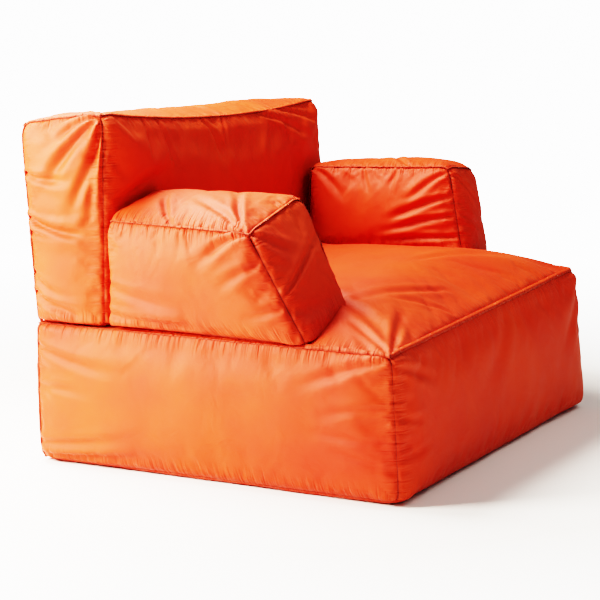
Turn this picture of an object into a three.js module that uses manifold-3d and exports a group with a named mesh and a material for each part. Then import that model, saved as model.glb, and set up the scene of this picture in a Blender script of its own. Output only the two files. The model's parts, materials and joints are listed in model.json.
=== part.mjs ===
// Bean bag armchair: four zipped, bead-filled box cushions (seat, back and two arms) sewn to each other.
// Millimetres, +Z up. The front faces -Y and the sitter's left is +X. The origin is on the floor, under
// the middle of the chair's bounding box.
//
// Each cushion is a cover of six cut fabric panels, a coil zip sewn behind a slot in the rear panel, a
// loose liner bag with a hook-and-loop mouth, and the bead fill. The fill swells the panels outwards;
// the rear panels, with the zips, and the panels that rest on something stay flat.
import * as THREE from "three";
import { mergeVertices } from "three/addons/utils/BufferGeometryUtils.js";
import Module from "manifold-3d";

// Driving dimensions of the chair, between its sewn edges.
const chairWidth = 1000;
const seatDepth = 800;
const seatSideHeight = 290;
const seatCrown = 90; // rise of the filled seat's middle over its side seams
const crownRun = 240; // how far behind the front seam the crown is at its full height
const backThickness = 175; // at the foot of the back
const backHeight = 425; // of the back's front panel
const backTopDrop = 24; // the rear edge of the back's top is this much lower than its front edge
const backFrontLean = 10;
const backRearLean = 35;
const armWidth = 175;
const armHeight = 212;
const armFootLength = 412;
const armFrontRake = 88; // the top of an arm's front stands this much behind its foot
const armToBackGap = 16;
const armSlope = Math.tan(THREE.MathUtils.degToRad(18)); // the seat's crown lifts an arm's inner side

// How far the fill swells the middle of a panel.
const seatSwell = { side: 14, front: 18 };
const backSwell = { side: 14, front: 16, top: 14 };
const armSwell = { side: 14, front: 14, top: 14 };

// Cloth and clearances.
const cloth = 1; // cover fabric with its backing
const linerCloth = 1;
const gap = 0.3; // between pieces that touch
const linerEase = 6; // the liner bag is this much smaller than its cover, all round
const fillEase = 0.5;
const panelCells = 6; // a swollen panel is this many flat facets long and wide

// Coil zip, slider and pull.
const zip = { slotWidth: 14, tapeWidth: 14, tape: 0.7, tapeEnd: 12, row: 2.7, rowHeight: 2.2, rowGap: 1 };
const stop = { length: 3, lip: 0.6, inset: 0.4 };
const slider = { length: 13, width: 9.6, plate: 1.4, flange: 1.3, post: 0.4, postLength: 4 };
const bridge = { length: 8, width: 2, window: 1.85, bar: 1 };
const pull = { pin: 0.65, arm: 1.6, armSpace: 0.4, thickness: 1, neck: 5, reach: 24, width: 6 };
const seatZip = { length: 720, height: 62 };
const backZip = { length: 700, height: 46 };
const armZip = { length: 130, height: 108 };

// Hook-and-loop mouth of a liner.
const mouth = { slit: 10, strip: 25, loopPile: 1.5, hookPile: 1, overlap: 10 };
const wideMouth = 300;
const armMouth = { width: 90, aside: 47 };

const wasm = await Module();
wasm.setup();

const standard = (color, roughness, metalness = 0) =>
  new THREE.MeshStandardMaterial({ color, roughness, metalness });
const coverFabric = () => standard(0xd4541c, 0.72);
const linerFabric = () => standard(0xe9e6df, 0.85);
const polystyreneBeads = () => standard(0xf6f6f4, 0.6);
const zipTape = () => standard(0xb8461a, 0.65);
const zipMetal = () => standard(0x8a8580, 0.35, 0.9);
const hookAndLoop = () => standard(0xdedad2, 0.95);

const chair = new THREE.Group();

function addMesh(name, geometry, material, parent = chair) {
  const mesh = new THREE.Mesh(geometry, material());
  mesh.name = name;
  parent.add(mesh);
}

// Evenly spaced values from low to high, in a whole number of cells.
const stations = (low, high, cells) =>
  Array.from({ length: cells + 1 }, (unused, i) => low + ((high - low) * i) / cells);

// A closed box with a grid on each face: xs, ys and zs are its rising stations, and move() shapes it.
// Opposite faces are split along the same diagonals, so that a thin bulged sheet keeps its thickness.
function gridBox(xs, ys, zs, move = (x, y, z) => [x, y, z]) {
  const axes = [xs, ys, zs];
  const [places, positions, index] = [new Map(), [], []];
  const vertex = (place) => {
    const key = place.join();
    if (!places.has(key)) {
      places.set(key, places.size);
      positions.push(...move(...place.map((station, axis) => axes[axis][station])));
    }
    return places.get(key);
  };
  const addQuad = (corner, towardsCorner, outwards) => {
    const [a, b, c, d] = [corner(0, 0), corner(1, 0), corner(1, 1), corner(0, 1)];
    const triangles = towardsCorner ? [[a, b, c], [a, c, d]] : [[a, b, d], [b, c, d]];
    for (const triangle of triangles) index.push(...(outwards ? triangle : triangle.reverse()));
  };
  for (let axis = 0; axis < 3; axis++) {
    const [u, v] = [(axis + 1) % 3, (axis + 2) % 3];
    const [cellsU, cellsV] = [axes[u].length - 1, axes[v].length - 1];
    for (const end of [0, axes[axis].length - 1]) {
      for (let i = 0; i < cellsU; i++) {
        for (let j = 0; j < cellsV; j++) {
          const corner = (di, dj) => {
            const place = [];
            [place[axis], place[u], place[v]] = [end, i + di, j + dj];
            return vertex(place);
          };
          addQuad(corner, 2 * i + 1 < cellsU === 2 * j + 1 < cellsV, end > 0);
        }
      }
    }
  }
  const geometry = new THREE.BufferGeometry();
  geometry.setAttribute("position", new THREE.Float32BufferAttribute(positions, 3));
  geometry.setIndex(index);
  geometry.computeVertexNormals();
  return geometry;
}

const box = (x0, x1, y0, y1, z0, z1) => gridBox([x0, x1], [y0, y1], [z0, z1]);

function solidOf(geometry) {
  const bare = geometry.clone();
  bare.deleteAttribute("normal");
  bare.deleteAttribute("uv");
  const merged = mergeVertices(bare, 1e-3);
  const vertProperties = merged.getAttribute("position").array;
  return new wasm.Manifold(
    new wasm.Mesh({ numProp: 3, vertProperties, triVerts: new Uint32Array(merged.index.array) }),
  );
}

function geometryOf(solid) {
  const mesh = solid.getMesh();
  const geometry = new THREE.BufferGeometry();
  geometry.setAttribute("position", new THREE.BufferAttribute(mesh.vertProperties, 3));
  geometry.setIndex(new THREE.BufferAttribute(mesh.triVerts, 1));
  geometry.computeVertexNormals();
  return geometry;
}

const cut = (geometry, ...tools) =>
  geometryOf(tools.reduce((solid, tool) => solid.subtract(solidOf(tool)), solidOf(geometry)));

const join = (first, ...others) =>
  geometryOf(others.reduce((solid, other) => solid.add(solidOf(other)), solidOf(first)));

// Places that several cushions share.
const sideFace = chairWidth / 2;
const seatFront = -seatDepth / 2;
const seatRear = seatDepth / 2;
const backFoot = seatRear - backThickness; // the back's front face, where it meets the seat
const armRear = backFoot - armToBackGap;
const armInner = sideFace - armWidth;
const armRise = (x) => Math.min(sideFace - Math.abs(x), armWidth) * armSlope;

// 1 in the middle of a 0 to 1 span and 0 at its ends.
const arch = (t) => 1 - (2 * Math.min(1, Math.max(0, t)) - 1) ** 2;

// Height of the crowned seat over the floor. Under the arms it is a plane that rises inwards.
function seatTop(x, y) {
  const underArm = armRise(x);
  const acrossMiddle = Math.max(0, 1 - (x / armInner) ** 2);
  const rise = underArm + (seatCrown - underArm) * acrossMiddle;
  const fromFront = Math.min(1, (y - seatFront) / crownRun);
  return seatSideHeight + rise * Math.sin((fromFront * Math.PI) / 2);
}

// The seat's sides and front swell between the floor and the side seams.
function swellSeat(x, y, z) {
  const upright = arch(z / seatSideHeight);
  const alongSide = arch((y - seatFront) / seatDepth);
  const alongFront = arch((x + sideFace) / chairWidth);
  const toFront = (seatRear - y) / seatDepth;
  return [
    x + seatSwell.side * (x / sideFace) * alongSide * upright,
    y - seatSwell.front * toFront * alongFront * upright,
    z,
  ];
}

// Stations across the seat, with lines along the arms' inner sides, and from its front to y = rear.
const seatAcross = (edge) => [
  ...stations(-edge, -armInner, 2),
  ...stations(-armInner, armInner, 6).slice(1),
  ...stations(armInner, edge, 2).slice(1),
];
const seatAlong = (front, rear) => [
  ...stations(front, seatFront + crownRun, 5),
  ...stations(seatFront + crownRun, rear, 3).slice(1),
];

// The whole seat with every face drawn in by inset: crowned in front of the back and level under it.
function seatSolid(inset) {
  const riser = backFoot - gap - inset;
  const top = (x, y) => (y > riser ? seatSideHeight : seatTop(x, y)) - inset;
  return gridBox(
    seatAcross(sideFace - inset),
    [...seatAlong(seatFront + inset, riser), riser + gap, seatRear - inset],
    stations(0, 1, 4),
    (x, y, share) => swellSeat(x, y, inset + (top(x, y) - inset) * share),
  );
}

// A box cushion whose side profile has four corners: foot front, foot rear, top rear and top front, each
// [y, z]. block() makes a part of it between distances in from its -X, front and foot faces, where those
// past the middle keep their distance from the opposite face. The lowest part of the cushion's front, as
// a share of its height, is pressed flat by whatever stands in front of it.
function boxCushion(profile, xLow, xHigh, swell, { lift = () => 0, pressed = 0 } = {}) {
  const [footFront, footRear, topRear, topFront] = profile;
  const blend = (a, b, share) => a + (b - a) * share;
  const size = [xHigh - xLow, footRear[0] - footFront[0], topFront[1] - footFront[1]];
  const depthAt = (up) => blend(size[1], topRear[0] - topFront[0], up);
  const heightAt = (along) => blend(size[2], topRear[1] - footRear[1], along);
  const point = (across, along, up) => {
    const [y, z] = [0, 1].map((k) =>
      blend(blend(footFront[k], footRear[k], along), blend(topFront[k], topRear[k], along), up),
    );
    const x = blend(xLow, xHigh, across);
    return [
      x + swell.side * (2 * across - 1) * arch(along) * arch(up),
      y - swell.front * (1 - along) * arch(across) * arch((up - pressed) / (1 - pressed)),
      z + lift(x) + swell.top * up * arch(across) * arch(along),
    ];
  };
  const block = (...spans) => {
    const shareOf = (axis, share, length) => {
      const ends = spans[axis].map((mm) => (mm < size[axis] / 2 ? mm : length - (size[axis] - mm)));
      return blend(...ends, share) / length;
    };
    const grid = spans.map(([low, high]) => stations(0, 1, high - low > 10 * cloth ? panelCells : 1));
    return gridBox(...grid, (i, j, k) => {
      const up = shareOf(2, k, heightAt(shareOf(1, j, size[1])));
      return point(shareOf(0, i, size[0]), shareOf(1, j, depthAt(up)), up);
    });
  };
  const solid = (inset) => block(...size.map((length) => [inset, length - inset]));
  return { size, block, solid };
}

// The six cover panels of a box cushion. The side panels overlap the ends of the four between them.
function addPanels(name, cushion, [lowSide, highSide], slot) {
  const [width, depth, height] = cushion.size;
  const edge = cloth + gap;
  const between = [edge, width - edge];
  const upright = [0, height - edge];
  const panel = (part, ...spans) => addMesh(`${name}_${part}_panel`, cushion.block(...spans), coverFabric);
  panel(lowSide, [0, cloth], [0, depth], [0, height]);
  panel(highSide, [width - cloth, width], [0, depth], [0, height]);
  panel("front", between, [0, cloth], upright);
  panel("top", between, [0, depth], [height - cloth, height]);
  panel("bottom", between, [edge, depth - edge], [0, cloth]);
  const rear = cushion.block(between, [depth - cloth, depth], upright);
  addMesh(`${name}_rear_panel`, cut(rear, slot), coverFabric);
}

// A frame on a rear panel: x runs along the zip or mouth and y points out of the cushion.
const level = (x, y, z, lean = 0) => new THREE.Matrix4().makeRotationX(-lean).setPosition(x, y, z);
const upright = (x, y, z) => new THREE.Matrix4().makeRotationY(-Math.PI / 2).setPosition(x, y, z);

// Liner bag, the two strips that close its mouth, and the fill. solid(inset) is the cushion drawn in by
// inset, and frame lies on the cover's outer face, over the middle of the mouth.
function addFilling(name, solid, frame, width) {
  const outside = cloth + linerEase;
  const across = (half) => [-width / 2 - half, width / 2 + half];
  const inFrame = (geometry) => geometry.applyMatrix4(frame);
  const slit = inFrame(box(...across(0), -outside - 4, -outside + 2, -mouth.slit / 2, mouth.slit / 2));
  const wall = outside + linerCloth;
  addMesh(`${name}_liner`, cut(solid(outside), solid(wall), slit), linerFabric);
  addMesh(`${name}_bead_fill`, solid(wall + fillEase), polystyreneBeads);
  const strip = (from, to) =>
    inFrame(box(...across(mouth.overlap), from - outside, to - outside, -mouth.strip / 2, mouth.strip / 2));
  const loopTop = gap + mouth.loopPile;
  addMesh(`${name}_liner_loop_strip`, strip(gap, loopTop), hookAndLoop);
  addMesh(`${name}_liner_hook_strip`, strip(loopTop + gap, loopTop + gap + mouth.hookPile), hookAndLoop);
}

// Opening for a zip in a cover panel.
const zipSlot = (frame, length) => {
  const [half, across] = [length / 2 + gap, zip.slotWidth / 2];
  return box(-half, half, -5, 5, -across, across).applyMatrix4(frame);
};

// A prism along x with the outline [z, y].
function alongX(outline, low, high) {
  const shape = new THREE.Shape(outline.map(([z, y]) => new THREE.Vector2(-z, y)));
  const geometry = new THREE.ExtrudeGeometry(shape, { depth: high - low, bevelEnabled: false });
  return geometry.rotateY(Math.PI / 2).translate(low, 0, 0);
}

// A closed zip in its own frame, where y = 0 is the panel's outer face and z runs across the zip. The
// slider waits at the low end of the zip, and its pull lies along the zip to the side of pullWay.
function addZip(name, frame, length, pullWay) {
  const parent = new THREE.Group();
  parent.applyMatrix4(frame);
  chair.add(parent);

  const half = length / 2;
  const tapeHalf = half + zip.tapeEnd;
  const tapeTop = -cloth - gap;
  const tapeFoot = tapeTop - zip.tape;
  const middle = (tapeTop + tapeFoot) / 2;
  const [rowTop, rowFoot] = [middle + zip.rowHeight / 2, middle - zip.rowHeight / 2];
  const rowInner = zip.rowGap / 2;
  const rowOuter = rowInner + zip.row;
  const tapeInner = rowInner + zip.row / 4;
  for (const [side, sign] of [["upper", 1], ["lower", -1]]) {
    const layer = (x0, x1, y0, y1, ...from) =>
      box(x0, x1, y0, y1, ...from.map((z) => sign * z).sort((a, b) => a - b));
    const topAndFoot = [rowFoot - stop.lip, rowTop + stop.lip];
    const stopAt = (x) =>
      layer(x, x + stop.length, ...topAndFoot, rowInner + stop.inset, rowOuter + stop.inset);
    const tape = join(
      layer(-tapeHalf, tapeHalf, tapeFoot, tapeTop, tapeInner, tapeInner + zip.tapeWidth),
      layer(-half, half, rowFoot, rowTop, rowInner, rowOuter),
      stopAt(-half + stop.inset),
      stopAt(half - stop.inset - stop.length),
    );
    addMesh(`${name}_zip_${side}_tape`, tape, zipTape, parent);
  }

  // The slider is two channels, joined by a post between the rows, with a bridge for the pull.
  const low = -half + stop.inset + stop.length + gap;
  const high = low + slider.length;
  const at = (low + high) / 2;
  const edge = slider.width / 2;
  const lip = edge - slider.flange;
  const channel = (back, plate, mouthEdge) =>
    alongX(
      [[-edge, back], [edge, back], [edge, mouthEdge], [lip, mouthEdge], [lip, plate],
        [-lip, plate], [-lip, mouthEdge], [-edge, mouthEdge]],
      low,
      high,
    );
  const [upperPlate, lowerPlate] = [rowTop + gap, rowFoot - gap];
  const plateTop = upperPlate + slider.plate;
  const windowTop = plateTop + bridge.window;
  const [postHalf, postReach, rooted] = [slider.post / 2, slider.postLength / 2, slider.plate / 2];
  const bridgeHalf = bridge.length / 2;
  const legHalf = bridgeHalf - bridge.bar;
  const staple = new THREE.Shape(
    [[-bridgeHalf, plateTop - rooted], [-legHalf, plateTop - rooted], [-legHalf, windowTop],
      [legHalf, windowTop], [legHalf, plateTop - rooted], [bridgeHalf, plateTop - rooted],
      [bridgeHalf, windowTop + bridge.bar], [-bridgeHalf, windowTop + bridge.bar],
    ].map(([x, y]) => new THREE.Vector2(x, y)),
  );
  const arched = new THREE.ExtrudeGeometry(staple, { depth: bridge.width, bevelEnabled: false });
  const body = join(
    channel(plateTop, upperPlate, tapeTop + gap),
    channel(lowerPlate - slider.plate, lowerPlate, tapeFoot - gap),
    box(at - postReach, at + postReach, lowerPlate - rooted, upperPlate + rooted, -postHalf, postHalf),
    arched.translate(at, 0, -bridge.width / 2),
  );
  addMesh(`${name}_zip_slider`, body, zipMetal, parent);

  // The pull's pin passes under the bridge, between two arms that pass outside it.
  const axis = plateTop + bridge.window / 2;
  const armIn = bridge.width / 2 + pull.armSpace;
  const armOut = armIn + pull.arm;
  const eye = pull.reach - pull.width / 2;
  const outline = new THREE.Shape();
  outline.moveTo(-pull.pin, armIn);
  outline.lineTo(pull.neck, armIn);
  outline.lineTo(pull.neck, -armIn);
  outline.lineTo(-pull.pin, -armIn);
  outline.lineTo(-pull.pin, -armOut);
  outline.lineTo(pull.neck, -armOut);
  outline.absarc(eye, 0, pull.width / 2, -Math.PI / 2, Math.PI / 2, false);
  outline.lineTo(pull.neck, armOut);
  outline.lineTo(-pull.pin, armOut);
  outline.holes.push(new THREE.Path().absarc(eye, 0, pull.width / 5, 0, 2 * Math.PI, true));
  const flat = { depth: pull.thickness, bevelEnabled: false, curveSegments: 6 };
  const plate = new THREE.ExtrudeGeometry(outline, flat);
  plate.rotateX(Math.PI / 2).translate(0, pull.thickness / 2, 0);
  const pin = new THREE.CylinderGeometry(pull.pin, pull.pin, 2 * armOut - pull.arm, 12);
  const tab = join(plate, pin.rotateX(Math.PI / 2));
  tab.rotateY(pullWay > 0 ? 0 : Math.PI).translate(at, axis, 0);
  addMesh(`${name}_zip_pull`, tab, zipMetal, parent);
}

function addSeat() {
  const edge = cloth + gap;
  const inner = sideFace - edge;
  const panelTop = seatSideHeight - edge;
  const across = seatAcross(inner);
  const panel = (part, geometry) => addMesh(`seat_${part}_panel`, geometry, coverFabric);
  const side = (x) =>
    gridBox([x, x + cloth], stations(seatFront, seatRear, 8), stations(0, seatSideHeight, 4), swellSeat);
  panel("left", side(sideFace - cloth));
  panel("right", side(-sideFace));
  panel("front", gridBox(across, [seatFront, seatFront + cloth], stations(0, panelTop, 4), swellSeat));
  panel("bottom", box(-inner, inner, seatFront + edge, seatRear - edge, 0, cloth));
  const zipFrame = level(0, seatRear, seatZip.height);
  const rear = box(-inner, inner, seatRear - cloth, seatRear, 0, panelTop);
  panel("rear", cut(rear, zipSlot(zipFrame, seatZip.length)));

  // The top drops behind the crown, against the back, and runs on under the back to the rear seam.
  const riser = backFoot - 2 * gap;
  const top = (x, y, under) => {
    const height = y > riser ? seatSideHeight : seatTop(x, y);
    const thickness = y >= riser && y < seatRear ? under : 0;
    return [x, y - thickness, height - under];
  };
  panel("top", gridBox(across, [...seatAlong(seatFront, riser), riser + gap, seatRear], [cloth, 0], top));

  addZip("seat", zipFrame, seatZip.length, 1);
  addFilling("seat", seatSolid, level(0, seatRear, seatSideHeight * 0.6), wideMouth);
}

function addBack() {
  const foot = seatSideHeight + gap;
  const top = foot + backHeight;
  const rearHeight = backHeight - backTopDrop;
  const profile = [
    [backFoot, foot],
    [seatRear, foot],
    [seatRear + backRearLean, foot + rearHeight],
    [backFoot + backFrontLean, top],
  ];
  // The front starts to swell at the first facet that lies above the seat's crown.
  const pressed = Math.ceil((panelCells * seatCrown) / backHeight) / panelCells;
  const cushion = boxCushion(profile, -sideFace, sideFace, backSwell, { pressed });
  const slope = backRearLean / rearHeight;
  const onRear = (up) => level(0, seatRear + up * slope, foot + up, Math.atan(slope));
  addPanels("back", cushion, ["right", "left"], zipSlot(onRear(backZip.height), backZip.length));
  addZip("back", onRear(backZip.height), backZip.length, 1);
  addFilling("back", cushion.solid, onRear(backHeight * 0.6), wideMouth);
}

function addArm(name, sign) {
  const foot = seatSideHeight + 2 * gap;
  const footFront = armRear - armFootLength;
  const profile = [
    [footFront, foot],
    [armRear, foot],
    [armRear, foot + armHeight],
    [footFront + armFrontRake, foot + armHeight],
  ];
  const sides = [sign * sideFace, sign * armInner].sort((a, b) => a - b);
  const cushion = boxCushion(profile, ...sides, armSwell, { lift: armRise });
  const middle = sign * (sideFace - armWidth / 2);
  const footAt = foot + armRise(middle);
  const zipFrame = upright(middle, armRear, footAt + armZip.height);
  const sideNames = sign > 0 ? ["inner", "outer"] : ["outer", "inner"];
  addPanels(name, cushion, sideNames, zipSlot(zipFrame, armZip.length));
  addZip(name, zipFrame, armZip.length, -1);
  const mouthFrame = upright(middle + sign * armMouth.aside, armRear, footAt + armHeight / 2);
  addFilling(name, cushion.solid, mouthFrame, armMouth.width);
}

addSeat();
addBack();
addArm("left_arm", 1);
addArm("right_arm", -1);

// The back leans out past the seat's rear and the seat's front swells: centre the two.
chair.position.y = (seatSwell.front - backRearLean) / 2;

export default chair;
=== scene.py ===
import json
import math
import bpy
import numpy as np
from mathutils import Matrix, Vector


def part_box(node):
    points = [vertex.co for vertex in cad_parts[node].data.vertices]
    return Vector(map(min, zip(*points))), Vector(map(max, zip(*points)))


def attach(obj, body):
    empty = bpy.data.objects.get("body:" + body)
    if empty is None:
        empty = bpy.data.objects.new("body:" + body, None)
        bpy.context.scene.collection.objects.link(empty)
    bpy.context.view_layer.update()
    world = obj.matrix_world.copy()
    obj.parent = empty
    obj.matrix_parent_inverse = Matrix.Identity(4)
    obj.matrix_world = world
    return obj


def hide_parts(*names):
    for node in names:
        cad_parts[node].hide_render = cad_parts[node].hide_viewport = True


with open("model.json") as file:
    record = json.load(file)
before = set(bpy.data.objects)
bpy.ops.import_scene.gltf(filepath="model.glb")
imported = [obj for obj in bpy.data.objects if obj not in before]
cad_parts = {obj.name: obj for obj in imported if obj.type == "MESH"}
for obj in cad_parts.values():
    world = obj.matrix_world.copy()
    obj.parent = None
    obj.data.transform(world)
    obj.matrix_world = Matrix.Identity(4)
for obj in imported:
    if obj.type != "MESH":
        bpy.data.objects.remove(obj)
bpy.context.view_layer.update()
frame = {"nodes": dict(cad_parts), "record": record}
record = frame["record"]

# Places that the cushions share, read off the frame. Metres, the chair faces -Y, +X is the sitter's left.
sheetGap = 0.0013  # a cover panel's thickness and its gap to the next one
topDrop = 0.024  # how much lower the back's rear top seam lies than its front one
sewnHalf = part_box("seat_rear_panel")[1][0] + sheetGap
seatFront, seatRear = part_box("seat_left_panel")[0][1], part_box("seat_left_panel")[1][1]
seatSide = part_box("seat_left_panel")[1][2]
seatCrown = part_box("seat_top_panel")[1][2] - seatSide
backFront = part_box("back_bottom_panel")[0][1] - sheetGap
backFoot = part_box("back_left_panel")[0][2]
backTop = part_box("back_left_panel")[1][2]
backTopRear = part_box("back_left_panel")[1][1]
armFront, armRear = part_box("left_arm_outer_panel")[0][1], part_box("left_arm_outer_panel")[1][1]
armFoot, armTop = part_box("left_arm_outer_panel")[0][2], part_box("left_arm_outer_panel")[1][2]
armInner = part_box("left_arm_top_panel")[0][0] - sheetGap
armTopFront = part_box("left_arm_top_panel")[0][1]
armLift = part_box("left_arm_inner_panel")[0][2] - armFoot
backLean = (backTopRear - seatRear) / (backTop - topDrop - backFoot)


# Numbers and shapes


def arch(t, fullness=1.0):
    # 0 at both ends of a 0 to 1 span and 1 in its middle; a fullness under 1 rises more steeply.
    return (1 - (2 * np.clip(t, 0, 1) - 1) ** 2) ** fullness


def bell(distance, width):
    # 1 at no distance, falling off as e to the minus square.
    return np.exp(-((distance / width) ** 2))


def smooth(low, high, value):
    # 0 below low, 1 above high, and three t squared less two t cubed between them.
    t = np.clip((value - low) / (high - low), 0, 1)
    return t * t * (3 - 2 * t)


def ripple(along, wavelength, seed):
    # Five sines near one wavelength, so that no stretch repeats another.
    draw = np.random.default_rng(seed)
    lengths = wavelength * draw.uniform(0.62, 1.7, 5)
    phases = draw.uniform(0, 2 * math.pi, 5)
    weights = draw.uniform(0.5, 1, 5)
    waves = zip(weights, lengths, phases)
    total = sum(weight * np.sin(2 * math.pi * along / length + phase) for weight, length, phase in waves)
    return total / 2.2  # about -1 to 1


def rolling(u, v, size, seed):
    # Nine plane waves in all directions: soft uneven ground of about that size.
    draw = np.random.default_rng(seed)
    low, high = [[0], [0], [0.6]], [[math.pi], [2 * math.pi], [1.5]]
    total = 0
    for turn, phase, stretch in zip(*draw.uniform(low, high, (3, 9))):
        way = u * math.cos(turn) + v * math.sin(turn)
        total = total + np.sin(2 * math.pi * way / (size * stretch) + phase)
    return total / 4.2  # about -1 to 1


def stations(length, cell, seamRows=(), edges=()):
    # Grid lines from 0 towards length: seam rows, even cells, and seam rows again. No line falls on the
    # far end or on an edge, or nearer to one than the least gap, so the last line stands for the far end.
    leastGap = 0.0011
    inner = seamRows[-1] if seamRows else 0
    count = max(1, round((length - 2 * inner) / cell))
    rows = np.array([0.0, *seamRows])
    lines = np.concatenate([rows, np.linspace(inner, length - inner, count + 1), length - rows])
    lines = np.unique(np.round(lines, 6))
    nearest = np.abs(lines[:, None] - np.array([0, length, *edges])).min(axis=1)
    return lines[(nearest > leastGap) | (lines == 0)]


def boxGrid(lines):
    # The grid points on the six faces of a box, as distances from its low corner, with the index arrays
    # of the faces, keyed (axis, end), and the quads that join the points, facing outwards.
    shape = [len(s) for s in lines]
    index = np.full(shape, -1)
    place = np.indices(shape)
    onFace = np.any([(place[k] == 0) | (place[k] == shape[k] - 1) for k in range(3)], axis=0)
    index[onFace] = np.arange(onFace.sum())
    rest = np.stack([lines[k][place[k][onFace]] for k in range(3)], axis=1)
    faces, quads, owners = {}, [], []
    for axis in range(3):
        for end in (0, 1):
            points = index.take(-end, axis)
            corners = [points[:-1, :-1], points[1:, :-1], points[1:, 1:], points[:-1, 1:]]
            if (end == 0) != (axis == 1):
                corners.reverse()
            faces[axis, end] = points
            quads.append(np.stack([c.ravel() for c in corners], axis=1))
            owners.append(np.full(len(quads[-1]), 2 * axis + end))
    return rest, faces, np.concatenate(quads), np.concatenate(owners)


def carry(coarse, fine):
    # Matrix that carries values on coarse grid lines to fine ones by cubic pieces with shared slopes.
    n = len(coarse)
    slopes = np.zeros((n, n))
    for k in range(n):
        low, high = max(k - 1, 0), min(k + 1, n - 1)
        slopes[k, high] += 1 / (coarse[high] - coarse[low])
        slopes[k, low] -= 1 / (coarse[high] - coarse[low])
    cell = np.clip(np.searchsorted(coarse, fine, side="right") - 1, 0, n - 2)
    step = coarse[cell + 1] - coarse[cell]
    t = (fine - coarse[cell]) / step
    matrix = ((t**3 - 2 * t**2 + t) * step)[:, None] * slopes[cell]
    matrix += ((t**3 - t**2) * step)[:, None] * slopes[cell + 1]
    rows = np.arange(len(fine))
    matrix[rows, cell] += 2 * t**3 - 3 * t**2 + 1
    matrix[rows, cell + 1] += 3 * t**2 - 2 * t**3
    return matrix


def resample(points, faces, oldLines, newLines):
    # The same surface on other grid lines, face by face.
    rest, newFaces, quads, owners = boxGrid(newLines)
    out = np.zeros((len(rest), 3))
    across = [carry(old, new) for old, new in zip(oldLines, newLines)]
    for (axis, end), old in faces.items():
        first, second = [across[k] for k in range(3) if k != axis]
        out[newFaces[axis, end]] = np.einsum("ai,bj,ijk->abk", first, second, points[old], optimize=True)
    return out, rest, newFaces, quads, owners


def normalsOf(points, quads):
    # Each quad's normal is the cross product of its diagonals; a point has the sum of its quads'.
    a, b, c, d = (points[quads[:, k]] for k in range(4))
    flat = np.cross(c - a, d - b)
    total = np.zeros_like(points)
    for k in range(4):
        np.add.at(total, quads[:, k], flat)
    return total / np.linalg.norm(total, axis=1)[:, None]


def makeMesh(name, points, quads, uvs=None):
    # uvs are {layer: array of quads, their four corners and u, v}.
    mesh = bpy.data.meshes.new(name)
    mesh.from_pydata(points.tolist(), [], quads.tolist())
    for layer, uv in (uvs or {}).items():
        mesh.uv_layers.new(name=layer).data.foreach_set("uv", uv.astype(np.float32).ravel())
    mesh.shade_smooth()
    piece = bpy.data.objects.new(name, mesh)
    bpy.context.scene.collection.objects.link(piece)
    return piece


# Cushions. Each one is a box of cloth that is shaped, blown up as cloth, and then seamed and creased.
# Corners are keyed (x, y, z), where 0 is the low end and 1 the high end.


def rounded(unit, settings):
    # The box's surface with rounded edges: a point past the inner, smaller box keeps its direction from
    # it and lies on an ellipsoid with the edge radii of the low or the high end of each axis.
    size, (low, high) = np.array(settings["size"]), np.array(settings["edges"])
    place = unit * size
    inner = np.clip(place, low, size - high)
    radii = np.where(unit < 0.5, low, high)
    away = (place - inner) / radii
    return (inner + radii * away / np.linalg.norm(away, axis=1)[:, None]) / size


def blendCorners(unit, corners):
    # Each of the eight corners, weighted by how near the point is to it along all three axes.
    total = 0
    for ends, corner in corners.items():
        share = np.prod([np.where(end, u, 1 - u) for end, u in zip(ends, unit.T)], axis=0)
        total = total + share[:, None] * np.array(corner)
    return total.T


def shifted(corners, moves, grow):
    # Corners moved by millimetres, because no filled cushion is square. All of them also move out by
    # grow, [[low x, y, z], [high x, y, z]], which makes up for what the rounded edges take away.
    moved = {}
    for key, corner in corners.items():
        out = [grow[end][k] * (2 * end - 1) for k, end in enumerate(key)]
        moved[key] = np.array(corner) + (np.array(moves.get(key, (0, 0, 0))) + out) / 1000
    return moved


def seatShape(unit, settings):
    # A rounded box with arched sides and front, a foot that rolls in, and a crowned top.
    x, y, z = blendCorners(rounded(unit, settings), settings["corners"])
    a, b, c = unit.T
    # The sides are fullest just below half height, and the front is out at its foot as well.
    swell, full, tall, height = settings["swells"], 0.5, 0.6, c**0.85
    footShare = 0.25
    x = x - swell["right"] * arch(b, full) * arch(height, tall) * (a == 0)
    x = x + swell["left"] * arch(b, full) * arch(height, tall) * (a == 1)
    front = arch(footShare + (1 - footShare) * height, tall)
    y = y - swell["front"] * arch(a, full) * front * (b == 0)
    # The foot rolls in under the seat, less and less with height.
    roll = settings["roll"] * np.exp(-c * seatSide / settings["rollHeight"])
    x, y = x - (2 * a - 1) * roll, y - (2 * b - 1) * roll
    # The top is crowned in front of the arms and between them, slopes up inwards under the arms as a
    # plane, and is level under the back.
    across, along = (2 * a - 1) * sewnHalf, seatFront + b * (seatRear - seatFront)
    free = settings["crown"] * (1 - abs(across / sewnHalf) ** settings["crownPower"])
    middle = np.clip(1 - (across / armInner) ** 2, 0, 1)
    pressed = underArm(across) - armFoot
    pressed = pressed + (settings["crown"] - pressed) * middle**0.8
    rise = free + (pressed - free) * smooth(-0.05, 0.02, along - armEdge(across))
    fromFront = np.clip((along - seatFront) / settings["crownRun"], 0, 1)
    rise = rise * np.sin(fromFront * math.pi / 2) ** settings["crownStart"]
    rise = rise * (1 - smooth(backFront - 0.014, backFront - 0.001, along))
    return np.stack([x, y, z + rise * (c == 1)], axis=1)


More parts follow.
